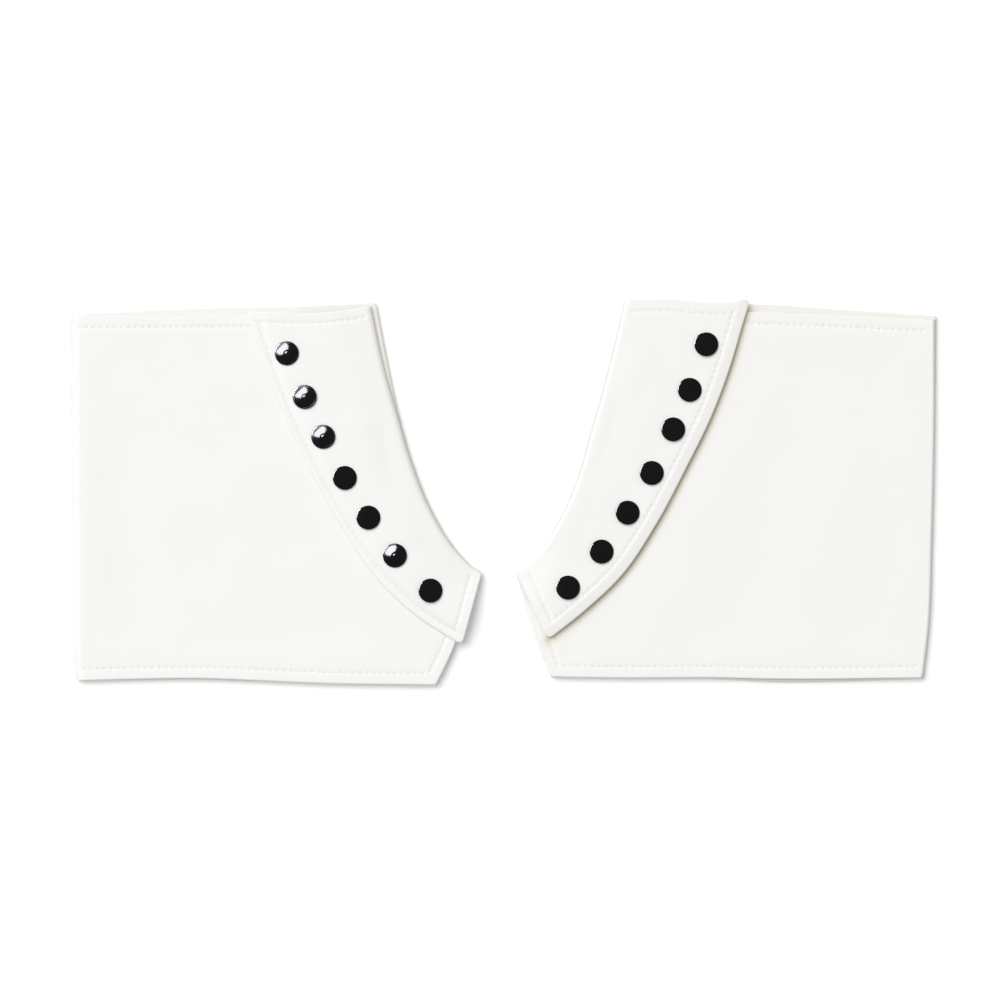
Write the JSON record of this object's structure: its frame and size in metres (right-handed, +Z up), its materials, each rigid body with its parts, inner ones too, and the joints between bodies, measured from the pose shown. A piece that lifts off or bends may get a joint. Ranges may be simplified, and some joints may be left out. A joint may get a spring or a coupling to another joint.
{
  "type": "pair of spats",
  "caption": "Pair of cloth spats laid flat, toes towards each other; each wraps the ankle and the top of a shoe and closes along a curved flap with glossy domed press snaps.",
  "frame": {"origin": "centre of the pair's bounding box, on the surface that both spats lie on", "axes": "+X from the wearer's right spat, which lies at -X with its toe towards +X, to the left spat; +Y from the foot edges to the leg edges; +Z up from the surface, towards the snap caps"},
  "size_m": [0.4446, 0.1974, 0.0107],
  "materials": {
    "white_cloth": "white plain-woven cotton cloth, matt",
    "black_plastic": "black moulded plastic, glossy"
  },
  "bodies": {
    "root": {"right_inner": "white_cloth", "right_quarter": "white_cloth", "right_flap": "white_cloth", "right_snap_1": "black_plastic", "right_snap_2": "black_plastic", "right_snap_3": "black_plastic", "right_snap_4": "black_plastic", "right_snap_5": "black_plastic", "right_snap_6": "black_plastic", "right_snap_7": "black_plastic", "right_stud_1": "black_plastic", "right_stud_2": "black_plastic", "right_stud_3": "black_plastic", "right_stud_4": "black_plastic", "right_stud_5": "black_plastic", "right_stud_6": "black_plastic", "right_stud_7": "black_plastic", "left_inner": "white_cloth", "left_quarter": "white_cloth", "left_flap": "white_cloth", "left_snap_1": "black_plastic", "left_snap_2": "black_plastic", "left_snap_3": "black_plastic", "left_snap_4": "black_plastic", "left_snap_5": "black_plastic", "left_snap_6": "black_plastic", "left_snap_7": "black_plastic", "left_stud_1": "black_plastic", "left_stud_2": "black_plastic", "left_stud_3": "black_plastic", "left_stud_4": "black_plastic", "left_stud_5": "black_plastic", "left_stud_6": "black_plastic", "left_stud_7": "black_plastic"}
  },
  "joints": []
}
